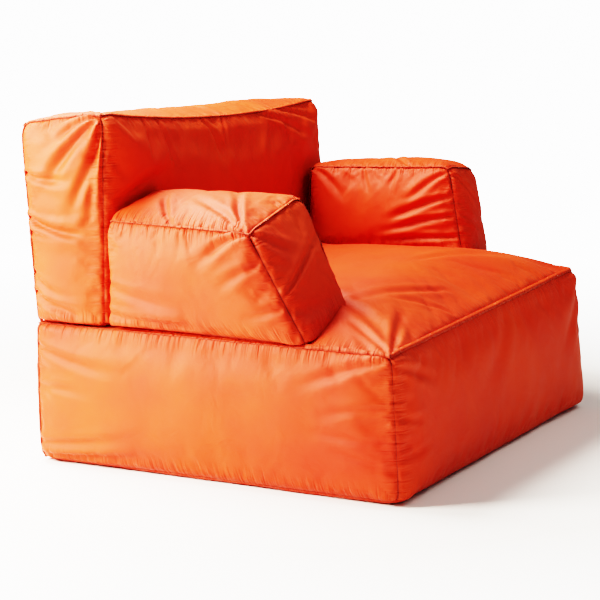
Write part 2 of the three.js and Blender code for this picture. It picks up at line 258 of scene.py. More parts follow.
def blockShape(unit, settings):
    # A rounded box whose faces swell as arches. The front begins to swell where nothing presses on it.
    x, y, z = blendCorners(rounded(unit, settings), settings["corners"])
    a, b, c = unit.T
    swell, full, pressed = settings["swells"], 0.55, settings["pressed"]
    x = x - swell["right"] * arch(b, full) * arch(c, full) * (a == 0)
    x = x + swell["left"] * arch(b, full) * arch(c, full) * (a == 1)
    y = y - swell["front"] * arch(a, full) * arch((c - pressed) / (1 - pressed), full) * (b == 0)
    y = y + swell["rear"] * arch(a, full) * arch(c, full) * (b == 1)
    z = z + swell["top"] * arch(a ** settings["topSkew"], full) * arch(b, full) * (c == 1)
    # Between its corners, the seam along the top of the front sags, and with it the cloth round it.
    below, behind = smooth(0.75, 1, c), 1 - smooth(0, 0.6, b)
    z = z - settings["sag"] * arch(a, 0.9) * below * behind
    return np.stack([x, y, z], axis=1)


seatCorners = {
    (i, j, k): (sewnHalf * (2 * i - 1), (seatFront, seatRear)[j], seatSide * k)
    for i in (0, 1) for j in (0, 1) for k in (0, 1)
}
backCorners = {}
for i in (0, 1):
    side = sewnHalf * (2 * i - 1)
    backCorners[i, 0, 0] = (side, backFront, backFoot)
    backCorners[i, 1, 0] = (side, seatRear, backFoot)
    backCorners[i, 0, 1] = (side, backFront + 0.010, backTop)
    backCorners[i, 1, 1] = (side, backTopRear, backTop - topDrop)


def armCorners(sign):
    # The corners of the arm on the side of that sign. Its inner side stands higher, on the seat's slope.
    corners = {}
    for i in (0, 1):
        outer = (i == 1) == (sign > 0)
        x, lift = (sewnHalf, 0) if outer else (armInner, armLift)
        corners[i, 0, 0] = (sign * x, armFront, armFoot + lift)
        corners[i, 1, 0] = (sign * x, armRear, armFoot + lift)
        corners[i, 0, 1] = (sign * x, armTopFront, armTop + lift)
        corners[i, 1, 1] = (sign * x, armRear, armTop + lift)
    return corners


# Folds run on a panel from one point to another, given as shares of it, with depth and width in
# millimetres, and they may bend sideways on their way. Panels are named by the side they face.
seat = {
    "name": "seat",
    "shape": seatShape,
    "size": (2 * sewnHalf, seatRear - seatFront, seatSide),
    "cell": 0.0125,
    "fineCell": 0.0052,
    "corners": shifted(
        seatCorners,
        {(1, 0, 1): (0, 4, 28), (1, 0, 0): (5, -24, 0), (0, 0, 0): (0, -20, 0)},
        [[12, 10, 0], [10, 5, 4]],
    ),
    "edges": [(0.040, 0.045, 0.022), (0.045, 0.030, 0.018)],
    "swells": {"right": 0.004, "left": 0.005, "front": 0.003},
    "roll": 0.005,
    "rollHeight": 0.03,
    "crown": 0.070,
    "crownRun": 0.24,
    "crownPower": 3.8,
    "crownStart": 0.67,
    "pressure": 0.5,
    "slack": 0.004,
    "cap": 0.014,
    "gathers": {"frontRight": 1.0, "frontLeft": 0.7, "rearRight": 0.9, "rearLeft": 0.9, "default": 0.35},
    "folds": [
        ("top", (0.19, 0.27), (0.05, 0.03), 5, 26, 8),
        ("top", (0.42, 0.10), (0.13, 0.26), 4, 20, 10),
        ("top", (0.34, 0.03), (0.20, 0.20), 3, 16, -6),
        ("top", (0.03, 0.02), (0.22, 0.10), 5, 14, 4),
        ("top", (0.02, 0.03), (0.11, 0.20), 4, 12, -4),
        ("top", (0.55, 0.25), (0.86, 0.12), 3, 30, 10),
        ("right", (0.02, 0.92), (0.26, 0.70), 5, 16, 5),
        ("right", (0.02, 0.62), (0.20, 0.55), 4, 13, 3),
        ("right", (0.02, 0.40), (0.24, 0.46), 4, 13, -3),
        ("right", (0.02, 0.22), (0.18, 0.34), 4, 12, 3),
        ("right", (0.98, 0.80), (0.72, 0.66), 5, 16, 6),
        ("right", (0.98, 0.52), (0.80, 0.50), 4, 14, -5),
        ("right", (0.98, 0.14), (0.66, 0.26), 5, 16, 6),
        ("right", (0.98, 0.05), (0.60, 0.13), 4, 14, 4),
        ("front", (0.01, 0.88), (0.16, 0.70), 4, 15, 4),
        ("front", (0.01, 0.55), (0.10, 0.50), 3, 11, 2),
        ("front", (0.01, 0.30), (0.12, 0.36), 3, 12, -2),
        ("front", (0.55, 0.95), (0.34, 0.45), 3, 40, 12),
        ("front", (0.98, 0.85), (0.80, 0.45), 4, 30, -8),
        ("left", (0.05, 0.80), (0.45, 0.40), 4, 24, 8),
        ("left", (0.95, 0.25), (0.60, 0.50), 4, 22, 8),
        ("rear", (0.05, 0.85), (0.30, 0.55), 3, 20, 6),
        ("rear", (0.96, 0.80), (0.74, 0.60), 3, 20, -6),
    ],
    "seed": 11,
}
back = {
    "name": "back",
    "shape": blockShape,
    "size": (2 * sewnHalf, seatRear - backFront, backTop - backFoot),
    "cell": 0.0110,
    "fineCell": 0.0048,
    "corners": shifted(
        backCorners,
        {
            (1, 0, 1): (-14, 18, -28),
            (1, 1, 1): (-8, 4, -24),
            (0, 0, 1): (6, -12, 14),
            (0, 1, 1): (-4, -2, 6),
        },
        [[13, 4, 0], [13, 3, 8]],
    ),
    "edges": [(0.045, 0.050, 0.012), (0.055, 0.030, 0.042)],
    "swells": {"right": 0.004, "left": 0.006, "front": 0.016, "rear": 0.005, "top": -0.010},
    "pressed": 0.21,
    "sag": 0.026,
    "topSkew": 0.6,
    "pressure": 0.6,
    "slack": 0.006,
    "cap": 0.012,
    "gathers": {"frontTop": 1.2, "rearTop": 0.9, "frontRight": 0.8, "frontLeft": 0.7, "default": 0.4},
    "folds": [
        ("right", (0.06, 0.97), (0.62, 0.80), 8, 15, 6),
        ("right", (0.05, 0.95), (0.66, 0.60), 10, 18, 10),
        ("right", (0.04, 0.92), (0.40, 0.50), 9, 14, -6),
        ("right", (0.04, 0.86), (0.20, 0.42), 6, 12, 5),
        ("right", (0.97, 0.52), (0.10, 0.41), 11, 15, 10),
        ("right", (0.97, 0.43), (0.35, 0.37), 4, 12, -6),
        ("right", (0.97, 0.72), (0.30, 0.66), 7, 13, 5),
        ("right", (0.95, 0.16), (0.18, 0.04), 8, 15, 6),
        ("right", (0.97, 0.26), (0.45, 0.12), 4, 12, 4),
        ("front", (0.16, 0.97), (0.14, 0.66), 4, 18, 6),
        ("front", (0.22, 0.97), (0.24, 0.62), 5, 16, -6),
        ("front", (0.41, 0.97), (0.45, 0.60), 5, 22, 8),
        ("front", (0.50, 0.97), (0.47, 0.74), 4, 14, -4),
        ("front", (0.68, 0.97), (0.90, 0.70), 5, 20, 8),
        ("front", (0.78, 0.97), (0.96, 0.80), 4, 14, 5),
        ("front", (0.03, 0.55), (0.24, 0.68), 5, 22, 8),
        ("front", (0.97, 0.55), (0.72, 0.48), 4, 22, 8),
        ("top", (0.04, 0.10), (0.20, 0.60), 4, 14, 5),
        ("top", (0.50, 0.05), (0.58, 0.80), 3, 20, 6),
        ("left", (0.06, 0.95), (0.70, 0.60), 6, 18, 8),
        ("left", (0.95, 0.50), (0.20, 0.42), 5, 16, 6),
        ("rear", (0.05, 0.92), (0.26, 0.64), 5, 20, 8),
        ("rear", (0.95, 0.92), (0.76, 0.66), 5, 20, -8),
        ("rear", (0.50, 0.97), (0.47, 0.60), 4, 26, 8),
    ],
    "seed": 23,
}
rightArm = {
    "name": "right_arm",
    "shape": blockShape,
    "size": (sewnHalf - armInner, armRear - armFront, armTop - armFoot),
    "cell": 0.0085,
    "fineCell": 0.0040,
    "corners": shifted(
        armCorners(-1),
        {
            (0, 1, 0): (0, 14, 0),
            (0, 1, 1): (0, 14, 4),
            (0, 0, 0): (0, -22, -4),
            (1, 0, 0): (6, -16, 2),
            (0, 0, 1): (-10, 26, -2),
            (1, 0, 1): (0, 0, 4),
            (1, 1, 0): (0, 4, 0),
            (1, 1, 1): (0, 0, -8),
        },
        [[9, 7, 0], [5, 6, 8]],
    ),
    "edges": [(0.034, 0.034, 0.010), (0.034, 0.014, 0.034)],
    "swells": {"right": 0.007, "left": 0.007, "front": 0.008, "rear": 0.002, "top": 0.009},
    "pressed": 0.0,
    "sag": 0.0,
    "topSkew": 1.0,
    "pressure": 0.9,
    "slack": 0.008,
    "cap": 0.012,
    "gathers": {"rightTop": 2.2, "leftTop": 1.2, "frontRight": 1.5, "frontTop": 0.8, "default": 0.6},
    "folds": [
        ("right", (0.03, 0.96), (0.42, 0.62), 6, 13, 6),
        ("right", (0.02, 0.70), (0.34, 0.44), 4, 12, 4),
        ("right", (0.98, 0.40), (0.50, 0.26), 4, 18, 6),
        ("right", (0.98, 0.15), (0.40, 0.08), 5, 16, 5),
        ("right", (0.02, 0.35), (0.26, 0.24), 4, 12, -3),
        ("top", (0.04, 0.04), (0.75, 0.35), 5, 12, 6),
        ("top", (0.04, 0.05), (0.45, 0.55), 5, 12, -5),
        ("top", (0.05, 0.55), (0.60, 0.78), 4, 14, 5),
        ("front", (0.05, 0.42), (0.92, 0.66), 5, 11, 5),
        ("front", (0.05, 0.95), (0.45, 0.60), 4, 12, -4),
        ("left", (0.05, 0.20), (0.50, 0.45), 5, 15, 6),
        ("left", (0.05, 0.85), (0.40, 0.60), 4, 14, -5),
    ],
    "seed": 37,
}
leftArm = {
    **rightArm,
    "name": "left_arm",
    "corners": shifted(
        armCorners(1),
        {
            (1, 1, 0): (0, 16, 0),
            (1, 1, 1): (0, 16, 4),
            (1, 0, 1): (2, -22, 32),
            (0, 0, 1): (16, -30, -6),
            (0, 1, 1): (10, -14, -22),
            (0, 0, 0): (4, 12, 8),
            (0, 1, 0): (4, -8, 0),
            (1, 0, 0): (-4, 24, 30),
        },
        [[5, 7, 0], [9, 6, 8]],
    ),
    "gathers": {"leftTop": 1.2, "frontLeft": 1.0, "frontRight": 1.1, "rightTop": 1.6, "default": 0.5},
    "folds": [
        ("right", (0.03, 0.88), (0.34, 0.50), 5, 13, 6),
        ("right", (0.03, 0.62), (0.48, 0.30), 7, 14, 8),
        ("right", (0.03, 0.42), (0.55, 0.18), 6, 13, 6),
        ("right", (0.03, 0.20), (0.60, 0.10), 5, 12, 4),
        ("right", (0.97, 0.95), (0.70, 0.55), 5, 14, -6),
        ("right", (0.60, 0.97), (0.54, 0.62), 4, 12, 4),
        ("right", (0.36, 0.97), (0.42, 0.70), 4, 11, -4),
        ("front", (0.05, 0.85), (0.70, 0.45), 5, 12, 5),
        ("front", (0.05, 0.45), (0.60, 0.25), 4, 12, 4),
        ("top", (0.06, 0.30), (0.60, 0.50), 4, 13, 5),
        ("left", (0.04, 0.90), (0.45, 0.50), 5, 15, 6),
        ("left", (0.96, 0.30), (0.55, 0.25), 4, 15, 5),
    ],
    "seed": 53,
}
cushions = [seat, back, rightArm, leftArm]
panelNames = {
    "right": (0, 0), "left": (0, 1),
    "front": (1, 0), "rear": (1, 1),
    "bottom": (2, 0), "top": (2, 1),
}
sideOf = {axisEnd: name for name, axisEnd in panelNames.items()}


def underArm(x):
    # Height of the sloping plane on which the arms stand.
    return armFoot + armLift * np.clip((sewnHalf - abs(x)) / (sewnHalf - armInner), 0, 1)


def armEdge(x):
    # How far forward the arms press on the seat. The left one has settled a little further back.
    return armFront + 0.035 * (x > 0)


def coarseCushion(cushion):
    # The cushion's shape on the coarse grid that the cloth is blown up on.
    lines = [stations(length, cushion["cell"]) for length in cushion["size"]]
    rest, faces, quads, _ = boxGrid(lines)
    unit = rest / [line[-1] for line in lines]
    points = cushion["shape"](unit, cushion)
    cushion.update(lines=lines, faces=faces, start=points)
    piece = makeMesh(cushion["name"] + "_cover", points, quads)
    # The foot stays where it rests, and the seams hold the shape while the panels between them fill.
    ends = np.minimum(unit, 1 - unit) == 0
    onSeam = ends.sum(axis=1) > 1
    seamHold, underBackHold, rearHold = 0.6, 0.9, 0.6
    held = np.where(unit[:, 2] == 0, 1.0, np.where(onSeam, seamHold, 0.0))
    if cushion is seat:
        underBack = (points[:, 1] > backFront - 0.02) * (unit[:, 2] == 1)
        held = np.maximum(held, underBackHold * underBack)
    held = np.maximum(held, rearHold * (unit[:, 1] == 1))
    for name, weights in (("held", held), ("sewn", 1.0 * onSeam)):
        group = piece.vertex_groups.new(name=name)
        for weight in np.unique(weights):
            group.add(np.flatnonzero(weights == weight).tolist(), float(weight), "REPLACE")
    return piece


blowSteps = 24


def addCloth(piece, cushion):
    # Cloth with air in it: the panels have some slack, the seams are drawn in, and nothing weighs it down.
    modifier = piece.modifiers.new("Cloth", "CLOTH")
    cloth = modifier.settings
    cloth.quality = 4
    cloth.mass = 0.25
    cloth.tension_stiffness = 18
    cloth.compression_stiffness = 18
    cloth.shear_stiffness = 6
    cloth.bending_stiffness = 0.12
    cloth.use_pressure = True
    cloth.uniform_pressure_force = cushion["pressure"]
    cloth.vertex_group_shrink = "sewn"
    cloth.shrink_min = -cushion["slack"]
    cloth.shrink_max = 0.012
    cloth.vertex_group_mass = "held"
    cloth.pin_stiffness = 1.0
    cloth.effector_weights.gravity = 0
    modifier.point_cache.frame_start = 1
    modifier.point_cache.frame_end = blowSteps


def inflate(pieces):
    # All four cushions are blown up together, and no point may move further than its cushion's cap.
    for piece, cushion in pieces:
        addCloth(piece, cushion)
    for step in range(1, blowSteps + 1):
        bpy.context.scene.frame_set(step)
    graph = bpy.context.evaluated_depsgraph_get()
    for piece, cushion in pieces:
        blown = piece.evaluated_get(graph).to_mesh()
        points = np.empty(len(blown.vertices) * 3, np.float32)
        blown.vertices.foreach_get("co", points)
        move = points.reshape(-1, 3) - cushion["start"]
        distance = np.linalg.norm(move, axis=1)
        limit = cushion["cap"] * np.tanh(distance / cushion["cap"])
        cushion["blown"] = cushion["start"] + move * (limit / np.maximum(distance, 1e-9))[:, None]
        print("inflated", piece.name, "moved up to", round(float(distance.max()) * 1000, 1), "mm")
    bpy.context.scene.frame_set(1)


def seamsOf(axis):
    # The four seams round a panel: the axis across a seam, the one along it, and the seam's end of across.
    first, second = [k for k in range(3) if k != axis]
    for across, along in ((first, second), (second, first)):
        for side in (0, 1):
            yield across, along, side


def seamName(*placed):
    # A seam lies at one end of two axes, as in frontTop.
    order = {1: 0, 0: 1, 2: 2}
    names = [sideOf[a] for a in sorted(placed, key=lambda item: order[item[0]])]
    return names[0] + names[1].capitalize()


def gathered(distance, along, seed):
    # Pleats that start at a seam, short ones close to it and longer ones further in, each with rounded
    # ridges and sharp valleys.
    total = 0
    for wavelength, reach, height in ((0.022, 0.022, 0.9), (0.040, 0.050, 1.7), (0.085, 0.110, 2.2)):
        slant = 0.35 * distance * ripple(along, 0.16, seed + 5)
        wave = np.abs(ripple(along + slant, 2 * wavelength, seed + int(wavelength * 1e4)))
        tight = 0.45 + 0.75 * np.clip(ripple(along, 0.11, seed + 9), -0.4, 1)
        total = total + height * tight * (wave - 0.42) * np.exp(-distance / reach)
    return total / 1000 * distance / (distance + 0.004)


def foldHeight(fold, u, v, width, depth):
    # A valley with a soft ridge on each side, that widens and fades on its way and may bend.
    _, start, end, deep, wide, bend = fold
    start = np.array(start) * (width, depth)
    way = np.array(end) * (width, depth) - start
    length = np.hypot(*way)
    way = way / length
    share = ((u - start[0]) * way[0] + (v - start[1]) * way[1]) / length
    across = (v - start[1]) * way[0] - (u - start[0]) * way[1] - bend / 1000 * arch(share)
    wide = wide / 2000 * (0.6 + 0.8 * np.clip(share, 0, 1))
    fade = smooth(-0.10, 0.12, share) * (1 - smooth(0.5, 1.08, share))
    valley = bell(across, wide) - 0.55 * bell(abs(across) - 2.1 * wide, 1.2 * wide)
    return -deep / 1000 * valley * fade


def detailHeight(cushion, rest, faces):
    # How far each point stands out from the blown surface: seam grooves, gathers, folds and unevenness.
    size = cushion["size"]
    grooves = ((0.0022, 0.0075), (0.0007, 0.0022))  # depth and width of the wide one and the narrow one
    flatMargin, foldMargin = 0.012, 0.006  # where the ground and the folds fade towards a seam
    height = np.zeros(len(rest))
    for (axis, end), points in faces.items():
        first, second = [k for k in range(3) if k != axis]
        u, v = rest[points][..., first], rest[points][..., second]
        seed = cushion["seed"] + 100 * axis + 50 * end
        ground = 0.0018 * rolling(u, v, 0.21, seed) + 0.0006 * rolling(u, v, 0.09, seed + 1)
        panel = np.zeros_like(u)
        place = rest[points]
        for across, along, side in seamsOf(axis):
            distance = place[..., across] if side == 0 else size[across] - place[..., across]
            name = seamName((axis, end), (across, side))
            amount = cushion["gathers"].get(name, cushion["gathers"]["default"])
            seamSeed = cushion["seed"] + 7 * axis + 3 * across + 13 * end + 17 * side
            panel = panel + amount * gathered(distance, place[..., along], seamSeed)
            for depth, width in grooves:
                panel = panel - depth * bell(distance, width)
            ground = ground * distance / (distance + flatMargin)
        nearU, nearV = np.minimum(u, size[first] - u), np.minimum(v, size[second] - v)
        fade = np.minimum(1, np.minimum(nearU, nearV) / foldMargin)
        for fold in cushion["folds"]:
            if panelNames[fold[0]] == (axis, end):
                panel = panel + fade * foldHeight(fold, u, v, size[first], size[second])
        height[points] = panel + ground
    return height


def clothMaps(cushion, rest, quads, owners):
    # Two UV maps, both in metres. The cloth's own is the place on the flat panel. The seam's is the
    # distance from the nearest seam and the distance along it.
    planes = np.array([[1, 2], [0, 2], [0, 1]])[owners // 2]
    cloth = np.take_along_axis(rest[quads], planes[:, None, :].repeat(4, axis=1), axis=2)
    lengths = np.array(cushion["size"])[planes]
    middle = cloth.mean(axis=1)
    nearest = np.concatenate([middle, lengths - middle], axis=1).argmin(axis=1)
    pick = (nearest % 2)[:, None, None].repeat(4, axis=1)
    across = np.take_along_axis(cloth, pick, axis=2)[..., 0]
    along = np.take_along_axis(cloth, 1 - pick, axis=2)[..., 0]
    span = np.take_along_axis(lengths, (nearest % 2)[:, None], axis=1)
    across = np.where((nearest >= 2)[:, None], span - across, across)
    return {"cloth": cloth, "seam": np.stack([across, along], axis=2)}


def finishCover(piece, cushion):
    # The blown surface on a fine grid, raised by its detail, clear of its neighbours and open at its zip.
    seamRows = (0.0018, 0.0036, 0.0056, 0.0075, 0.0095, 0.0125, 0.0165)
    lines = [
        stations(length, cushion["fineCell"], seamRows, edges)
        for length, edges in zip(cushion["size"], zipOpening(cushion))
    ]
    points, rest, faces, quads, owners = resample(
        cushion["blown"], cushion["faces"], cushion["lines"], lines
    )
    normals = normalsOf(points, quads)
    points = points + normals * detailHeight(cushion, rest, faces)[:, None]
    points = clearNeighbours(cushion, points)
    points = openZip(cushion, points, rest, faces)
    fine = makeMesh(piece.name + "_new", points, quads, clothMaps(cushion, rest, quads, owners))
    old = piece.data
    piece.data = fine.data
    bpy.data.objects.remove(fine)
    bpy.data.meshes.remove(old)
    piece.data.name = piece.name
    piece.modifiers.clear()
    piece.vertex_groups.clear()
    cushion["cover"] = (points, faces, lines)


def rearPlane(cushion, z):
    # The flat part of a rear panel, just outside the zip tapes sewn behind it: upright on the seat and
    # the arms, and leaning on the back.
    outside = 0.0008
    if cushion is back:
        return seatRear + (z - backFoot) * backLean + outside
    return (seatRear if cushion is seat else armRear) + 0 * z + outside


def zipOpening(cushion):
    # Lines along x and z on both sides of each edge of the opening over a zip, as distances from the rear
    # panel's low corner. The opening shows the coils and leaves the tapes' edges covered.
    tapeEnd, halfOpen, shortSide, step = 0.012, 0.007, 0.02, 0.0005
    upper, lower = (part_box(f"{cushion['name']}_zip_{side}_tape") for side in ("upper", "lower"))
    low, high = np.minimum(upper[0], lower[0]), np.maximum(upper[1], lower[1])
    middle, half = (low + high) / 2, (high - low) / 2
    half = np.where(half > shortSide, half - tapeEnd, halfOpen)
    corner = rearCorner(cushion)
    steps = np.array([-step, step])
    edges = [np.concatenate([m - h + steps, m + h + steps]) for m, h in zip(middle, half)]
    return edges[0] - corner[0], (), edges[2] - corner[1]


def rearCorner(cushion):
    # Where the rear panel's low corner would be if the panel were flat: x and z.
    if cushion is seat:
        return -sewnHalf, 0
    if cushion is back:
        return -sewnHalf, backFoot
    return (-sewnHalf if cushion is rightArm else armInner), armFoot


def openZip(cushion, points, rest, faces):
    # Round its zip the rear panel is flat, and the cloth in the opening lies behind the coils.
    recess, flatTo, freeFrom, slack = 0.0062, 0.010, 0.055, 1e-6
    panel = faces[1, 1]
    columns, _, rows = zipOpening(cushion)
    u, v = rest[panel][..., 0], rest[panel][..., 2]
    corner = rearCorner(cushion)
    x, z = corner[0] + u, corner[1] + v
    besideU = np.maximum(columns[0] - u, u - columns[-1])
    besideV = np.maximum(rows[0] - v, v - rows[-1])
    flat = (1 - smooth(flatTo, freeFrom, np.maximum(besideU, besideV)))[..., None]
    insideU = (u > columns[1] - slack) & (u < columns[2] + slack)
    insideV = (v > rows[1] - slack) & (v < rows[2] + slack)
    plane = np.stack([x, rearPlane(cushion, z) - recess * (insideU & insideV), z], axis=-1)
    points = points.copy()
    points[panel] = points[panel] * (1 - flat) + plane * flat
    return points


coverMargin = 0.0005  # between the covers of cushions that press on each other


def clearNeighbours(cushion, points, margin=coverMargin):
    # Cushions press on each other without passing through. Each contact fades in round its edges.
    x, y, z = points.T.copy()
    if cushion is seat:
        onTop = smooth(seatSide - 0.06, seatSide - 0.03, z)
        underArms = smooth(armInner - 0.05, armInner, abs(x)) * smooth(-0.02, 0.015, y - armEdge(x))
        z = z - onTop * underArms * np.maximum(z - underArm(x) + margin, 0)
        underBack = smooth(backFront - 0.030, backFront - 0.002, y)
        z = z - onTop * underBack * np.maximum(z - backFoot + margin, 0)
        z = np.maximum(z, 0 if margin == coverMargin else margin)
    elif cushion is back:
        z = np.maximum(z, backFoot + margin)
        seatTop = seatSide + seatCrown
        onSeat = 1 - smooth(seatTop, seatTop + 0.05, z)
        byArm = smooth(armInner - 0.10, armInner - 0.01, abs(x)) * (1 - smooth(armTop, armTop + 0.11, z))
        reach = np.maximum(onSeat, byArm) * np.maximum(backFront - 0.001 + margin - y, 0)
        y = y + reach * (y < backFront + 0.05)
    else:
        z = np.maximum(z, underArm(x) + margin)
        y = np.minimum(y, backFront - 0.002 - margin)
    return np.stack([x, y, z], axis=1)


def addInner(cushion):
    # The liner bag and the fill follow the cover from inside, on a grid of their own.
    innerCell = 0.028
    lines = [stations(length, innerCell) for length in cushion["size"]]
    shape, _, _, quads, _ = resample(*cushion["cover"], lines)
    inwards = -normalsOf(shape, quads)
    for part, inset, material, slot in (
        ("liner", 0.024, linerMaterial, "liner_fabric"),
        ("bead_fill", 0.028, beadMaterial, "polystyrene_beads"),
    ):
        points = clearNeighbours(cushion, shape + inset * inwards, inset)
        piece = makeMesh(f"{cushion['name']}_{part}_inside", points, quads)
        piece.data.materials.append(material)
        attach(piece, "chair")
        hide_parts(f"{cushion['name']}_{part}")


# Materials


def linear(code):
    # An sRGB hex value to linear colour.
    parts = [int(code[k : k + 2], 16) / 255 for k in (1, 3, 5)]
    return tuple(c / 12.92 if c <= 0.04045 else ((c + 0.055) / 1.055) ** 2.4 for c in parts) + (1.0,)


def addNode(tree, kind, settings=None, links=None):
    # settings are the node's own values or its sockets' values; links are {socket: output}.
    node = tree.nodes.new("ShaderNode" + kind)
    for key, value in (settings or {}).items():
        if isinstance(key, str) and hasattr(node, key):
            setattr(node, key, value)
        else:
            node.inputs[key].default_value = value
    for key, source in (links or {}).items():
        tree.links.new(source, node.inputs[key])
    return node


def newMaterial(name, colour, roughness, metallic=0.0):
    material = bpy.data.materials.new(name)
    material.use_nodes = True
    shader = material.node_tree.nodes["Principled BSDF"]
    shader.inputs["Base Color"].default_value = linear(colour)
    shader.inputs["Roughness"].default_value = roughness
    shader.inputs["Metallic"].default_value = metallic
    return material, material.node_tree, shader


def makeCoverMaterial():
    # Plain-woven polyester, piece-dyed orange and lightly calendered: soft highlights and a low sheen.
    # Sizes are in metres. The weave is drawn about three times as coarse as the real one, to show.
    look = {"thread": 0.0011, "stitch": 0.0040, "stitchLine": 0.0070, "thick": 0.0006, "pucker": 0.012}
    material, tree, shader = newMaterial("woven polyester cover", "#C82F02", 0.62)
    shader.inputs["Sheen Weight"].default_value = 0.05
    shader.inputs["Sheen Roughness"].default_value = 0.45
    shader.inputs["Sheen Tint"].default_value = linear("#FFB27A")
    shader.inputs["Specular IOR Level"].default_value = 0.28
    place = addNode(tree, "TexCoord").outputs["Object"]
    cloth = addNode(tree, "UVMap", {"uv_map": "cloth"}).outputs[0]
    seam = addNode(tree, "UVMap", {"uv_map": "seam"}).outputs[0]
    # A stitch is a short raised thread on the stitching line, a little in from the seam.
    seamXY = addNode(tree, "SeparateXYZ", links={0: seam})
    onLine = addNode(
        tree, "Math",
        {"operation": "COMPARE", 1: look["stitchLine"], 2: look["thick"]},
        {0: seamXY.outputs[0]},
    )
    steps = addNode(tree, "Math", {"operation": "DIVIDE", 1: look["stitch"]}, {0: seamXY.outputs[1]})
    beat = addNode(tree, "Math", {"operation": "FRACT"}, {0: steps.outputs[0]})
    onBeat = addNode(tree, "Math", {"operation": "LESS_THAN", 1: 0.72}, {0: beat.outputs[0]})
    thread = addNode(tree, "Math", {"operation": "MULTIPLY"}, {0: onLine.outputs[0], 1: onBeat.outputs[0]})
    # Painted shade: within 3 mm of a seam the cloth is darkened, up to 0.85 of the way to a dark red-brown,
    # for the shade that falls in the seam's groove.
    paintedSeamShade = addNode(
        tree, "MapRange",
        {"From Min": 0.0008, "From Max": 0.0030, "To Min": 0.85, "To Max": 0.0},
        {"Value": seamXY.outputs[0]},
    )
    # Two tones in soft patches, and darker slubs.
    patches = addNode(tree, "TexNoise", {"Scale": 5.5, "Detail": 3.0, "Roughness": 0.55}, {"Vector": place})
    slubs = addNode(tree, "TexNoise", {"Scale": 420.0, "Detail": 2.0}, {"Vector": place})
    tone = addNode(tree, "ValToRGB", links={0: patches.outputs[0]})
    darker, lighter = tone.color_ramp.elements
    darker.position, darker.color = 0.3, linear("#C12700")
    lighter.position, lighter.color = 0.72, linear("#CE3602")
    fleck = addNode(
        tree, "Mix",
        {"data_type": "RGBA", "blend_type": "MULTIPLY", 0: 0.16},
        {6: tone.outputs[0], 7: slubs.outputs[1]},
    )
    # Painted shade: the cloth's colour is mixed towards #5A1204 along each seam, where the groove lies in
    # shade.
    sewn = addNode(
        tree, "Mix",
        {"data_type": "RGBA", 7: linear("#5A1204")},
        {0: paintedSeamShade.outputs[0], 6: fleck.outputs[2]},
    )
    threaded = addNode(
        tree, "Mix",
        {"data_type": "RGBA", 7: linear("#A82A06")},
        {0: thread.outputs[0], 6: sewn.outputs[2]},
    )
    tree.links.new(threaded.outputs[2], shader.inputs["Base Color"])
    rough = addNode(tree, "MapRange", {"To Min": 0.55, "To Max": 0.72}, {"Value": slubs.outputs[0]})
    tree.links.new(rough.outputs[0], shader.inputs["Roughness"])
    # Fine puckers run across each seam and die out in the panel; weaker creases lie all over.
    stretched = addNode(tree, "Mapping", {"Scale": (7.0, 1 / look["pucker"], 1.0)}, {"Vector": seam})
    pleats = addNode(
        tree, "TexNoise",
        {"Scale": 1.0, "Detail": 2.0, "Distortion": 0.6},
        {"Vector": stretched.outputs[0]},
    )
    bySeam = addNode(
        tree, "MapRange",
        {"interpolation_type": "SMOOTHERSTEP", "From Max": 0.055, "To Min": 1.0, "To Max": 0.0},
        {"Value": seamXY.outputs[0]},
    )
    pleated = addNode(tree, "Math", {"operation": "MULTIPLY"}, {0: pleats.outputs[0], 1: bySeam.outputs[0]})
    creases = addNode(tree, "TexNoise", {"Scale": 14.0, "Detail": 4.0, "Distortion": 1.6}, {"Vector": place})
    soft = addNode(tree, "Bump", {"Strength": 0.30, "Distance": 0.006}, {"Height": creases.outputs[0]})
    puckered = addNode(
        tree, "Bump",
        {"Strength": 0.9, "Distance": 0.011},
        {"Height": pleated.outputs[0], "Normal": soft.outputs[0]},
    )
    # Warp and weft.
    turns = 2 * math.pi / look["thread"]
    threads = addNode(tree, "VectorMath", {"operation": "SCALE", "Scale": turns}, {0: cloth})
    waves = addNode(tree, "VectorMath", {"operation": "SINE"}, {0: threads.outputs[0]})
    wavesXY = addNode(tree, "SeparateXYZ", links={0: waves.outputs[0]})
    weave = addNode(tree, "Math", {"operation": "MULTIPLY"}, {0: wavesXY.outputs[0], 1: wavesXY.outputs[1]})
    woven = addNode(
        tree, "Bump",
        {"Strength": 0.25, "Distance": 0.0002},
        {"Height": weave.outputs[0], "Normal": puckered.outputs[0]},
    )
    stitched = addNode(
        tree, "Bump",
        {"Strength": 0.8, "Distance": 0.0005},
        {"Height": thread.outputs[0], "Normal": woven.outputs[0]},
    )
    tree.links.new(stitched.outputs[0], shader.inputs["Normal"])
    return material


def makeLinerMaterial():
    # Unbleached spun-bonded liner cloth, thin and matt.
    material, tree, shader = newMaterial("spun-bonded liner cloth", "#E9E4DA", 0.85)
    place = addNode(tree, "TexCoord").outputs["Object"]
    fibres = addNode(tree, "TexNoise", {"Scale": 380.0, "Detail": 4.0, "Distortion": 2.0}, {"Vector": place})
    bump = addNode(tree, "Bump", {"Strength": 0.3, "Distance": 0.0006}, {"Height": fibres.outputs[0]})
    tree.links.new(bump.outputs[0], shader.inputs["Normal"])
    return material


def makeBeadMaterial():
    # Expanded polystyrene beads, 4 mm across and steam-blown: white and matt.
    material, tree, shader = newMaterial("expanded polystyrene beads", "#F4F4F1", 0.55)
    place = addNode(tree, "TexCoord").outputs["Object"]
    cells = addNode(tree, "TexVoronoi", {"Scale": 250.0}, {"Vector": place})
    bump = addNode(
        tree, "Bump",
        {"Strength": 1.0, "Distance": 0.002, "invert": True},
        {"Height": cells.outputs["Distance"]},
    )
    tree.links.new(bump.outputs[0], shader.inputs["Normal"])
    return material


